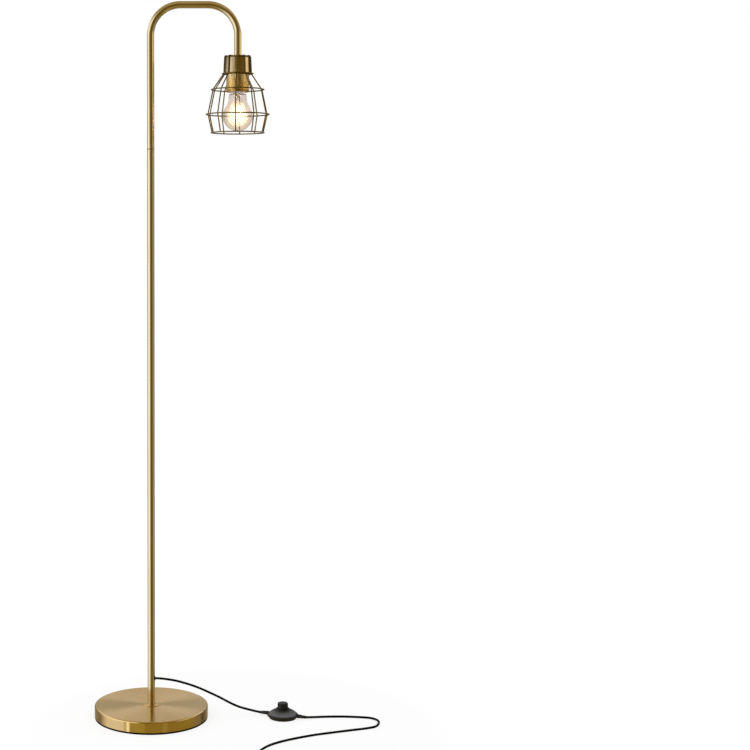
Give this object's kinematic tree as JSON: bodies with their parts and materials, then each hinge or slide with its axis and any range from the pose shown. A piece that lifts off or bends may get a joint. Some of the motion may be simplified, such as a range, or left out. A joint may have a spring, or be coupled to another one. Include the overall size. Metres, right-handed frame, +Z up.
{
  "type": "arched floor lamp",
  "caption": "Slender brass floor lamp: round weighted base, straight pole bent over in a square hook, open wire cage shade round a clear filament bulb, black cord with a foot switch and plug.",
  "frame": {"origin": "on the floor under the pole's axis, at the centre of the base's underside", "axes": "+Z up along the pole, +X towards the shade, -Y towards the viewer of the picture"},
  "size_m": [0.6245, 0.5222, 1.57],
  "materials": {
    "satin_brass": "satin brushed brass plating on steel tube",
    "satin_brass_base": "satin brass plating on pressed steel, spun grain",
    "wire_brass": "semi-gloss brass plating on steel wire",
    "polished_brass": "polished brass plating on drawn steel",
    "contact_brass": "bare brass",
    "zinc_steel": "zinc plated",
    "cast_weight": "rough casting, black primer",
    "foam_pad": "matte foam rubber",
    "black_rubber": "satin moulded rubber",
    "black_plastic": "fine matte texture",
    "holder_moulding": "smooth cream moulding",
    "cord_sheath": "satin round cord sheath",
    "clear_glass": "clear blown glass",
    "stem_glass": "clear lead glass",
    "bulb_cap_metal": "nickel plated",
    "filament": "glowing warm white filament"
  },
  "bodies": {
    "lamp": {"base_pad": "foam_pad", "base_weight": "cast_weight", "base_cover": "satin_brass_base", "base_bolt": "zinc_steel", "base_bolt_washer": "zinc_steel", "foot_plate": "satin_brass_base", "foot_collar": "satin_brass", "pole_lower": "satin_brass", "pole_middle": "satin_brass", "pole_upper": "satin_brass", "pole_bushes": "zinc_steel", "pole_nipples": "zinc_steel", "hook_tube": "satin_brass", "inner_cable": "cord_sheath", "cord_grommet": "black_rubber", "shade_hub": "wire_brass", "shade_ribs": "wire_brass", "ring_top": "wire_brass", "ring_collar": "wire_brass", "ring_shoulder": "wire_brass", "ring_waist": "wire_brass", "ring_bottom": "wire_brass", "shade_sleeve": "polished_brass", "socket_cup": "polished_brass", "head_nipple": "zinc_steel", "lock_nut": "zinc_steel", "holder_cap": "holder_moulding", "holder_body": "holder_moulding", "holder_core": "holder_moulding", "screw_shell": "contact_brass", "centre_contact": "contact_brass", "terminal_screws": "contact_brass", "lead_wires": "cord_sheath", "switch_pad": "foam_pad", "switch_tray": "black_plastic", "switch_cover": "black_plastic", "switch_spring": "zinc_steel", "switch_block": "holder_moulding", "switch_glands": "black_rubber", "switch_screws": "zinc_steel", "cord_to_switch": "cord_sheath", "cord_on_floor": "cord_sheath", "cord_coil": "cord_sheath", "plug_body": "black_rubber", "plug_blades": "contact_brass"},
    "bulb": {"bulb_glass": "clear_glass", "bulb_cap": "bulb_cap_metal", "bulb_insulator": "black_plastic", "bulb_contact": "bulb_cap_metal", "bulb_stem": "stem_glass", "bulb_leads": "bulb_cap_metal", "bulb_filaments": "filament"},
    "foot_button": {"switch_button": "black_plastic"}
  },
  "joints": [
    {"name": "bulb_removal", "type": "slide", "parent": "lamp", "child": "bulb", "axis": [0, 0, -1], "range_m": [0, 0.18]},
    {"name": "button_press", "type": "slide", "parent": "lamp", "child": "foot_button", "axis": [0, 0, -1], "range_m": [0, 0.004], "stiffness_N_per_m": 1500, "springref_m": -0.002, "deforming": ["switch_spring"]}
  ]
}
